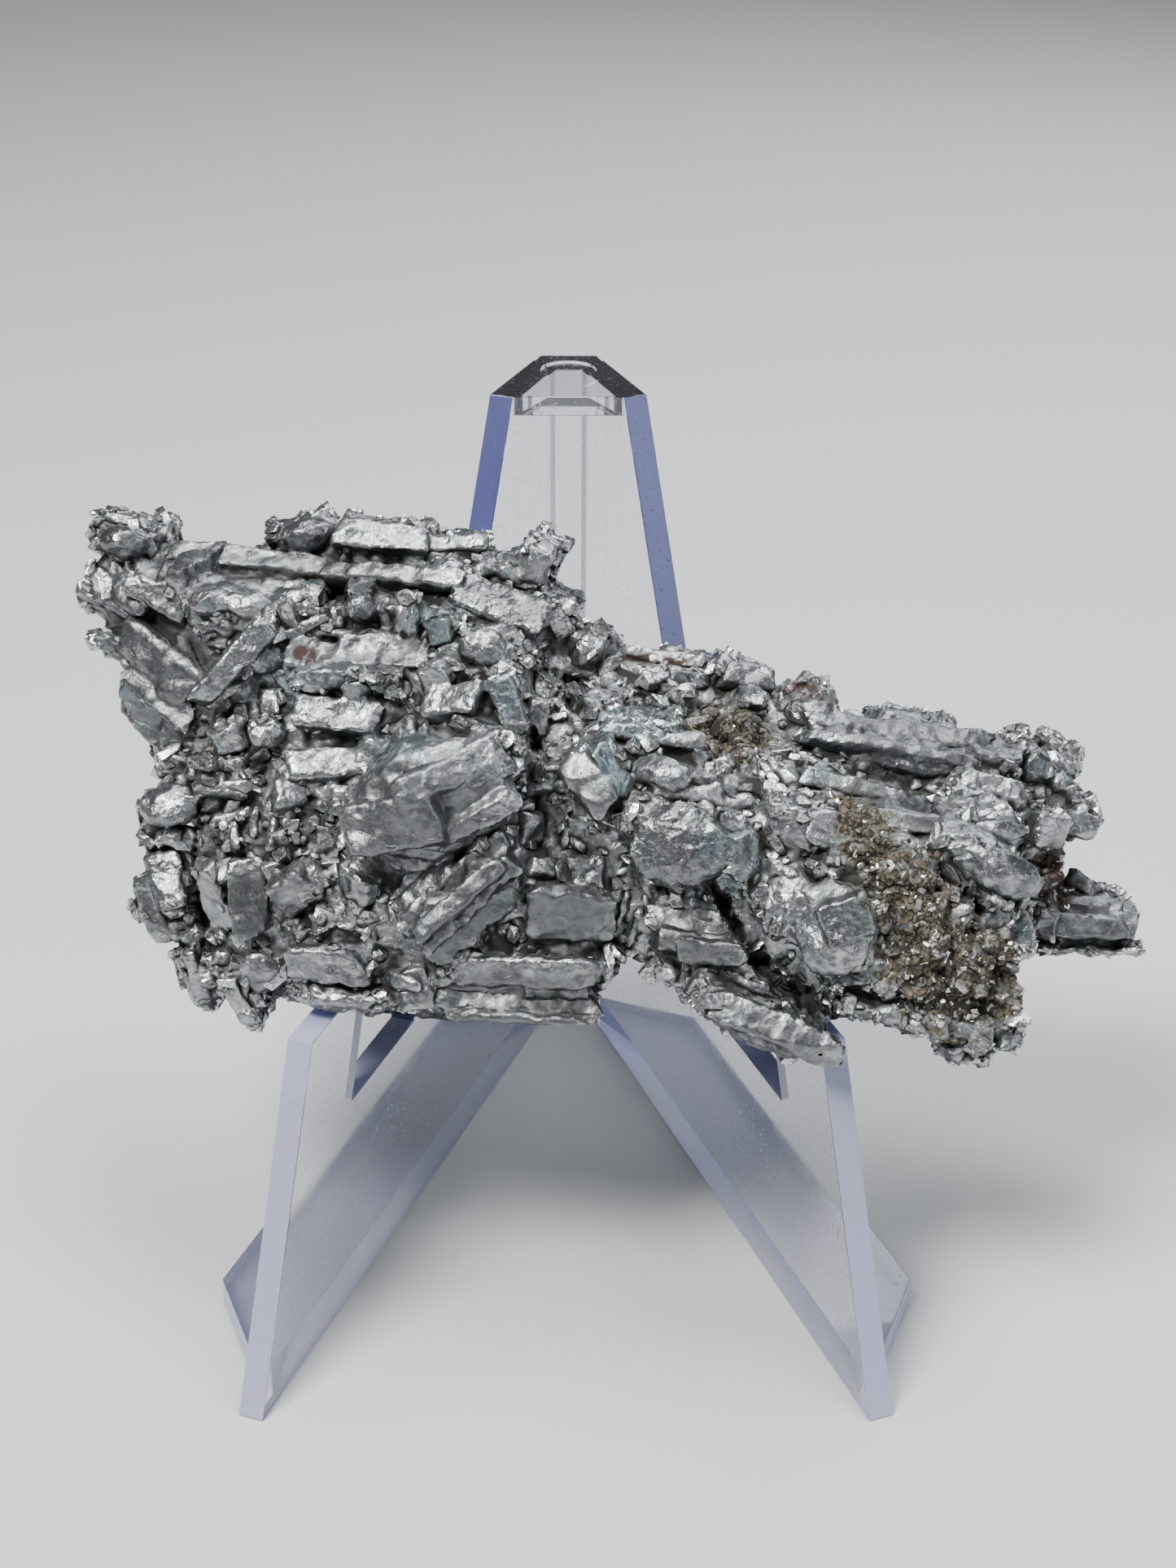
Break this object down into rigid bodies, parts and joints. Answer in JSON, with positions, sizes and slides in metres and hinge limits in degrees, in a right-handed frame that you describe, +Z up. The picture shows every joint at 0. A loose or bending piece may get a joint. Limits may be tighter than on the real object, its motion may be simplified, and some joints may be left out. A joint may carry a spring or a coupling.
{
  "type": "meteorite end cut on a display stand",
  "caption": "Lumpy, silvery iron meteorite end cut with a flat sawn back, leaning on a clear moulded easel whose spread wings have arms, a ledge and foot flanges.",
  "frame": {"origin": "middle of the footprint box, on the surface that the stand rests on", "axes": "+Z up, +X to the right as seen from the front, +Y to the back, towards the stand's spine"},
  "size_m": [0.1192, 0.086, 0.09],
  "materials": {
    "meteorite_metal": "bright, uneven natural metal with dark crevices, matte grey faces and a patch of brown crumbly oxide; ground flat on the sawn back",
    "clear_plastic": "clear and polished, with fine scratches, blue-violet where light leaves the edges"
  },
  "bodies": {
    "root": {"meteorite": "meteorite_metal", "display_stand": "clear_plastic"}
  },
  "joints": []
}
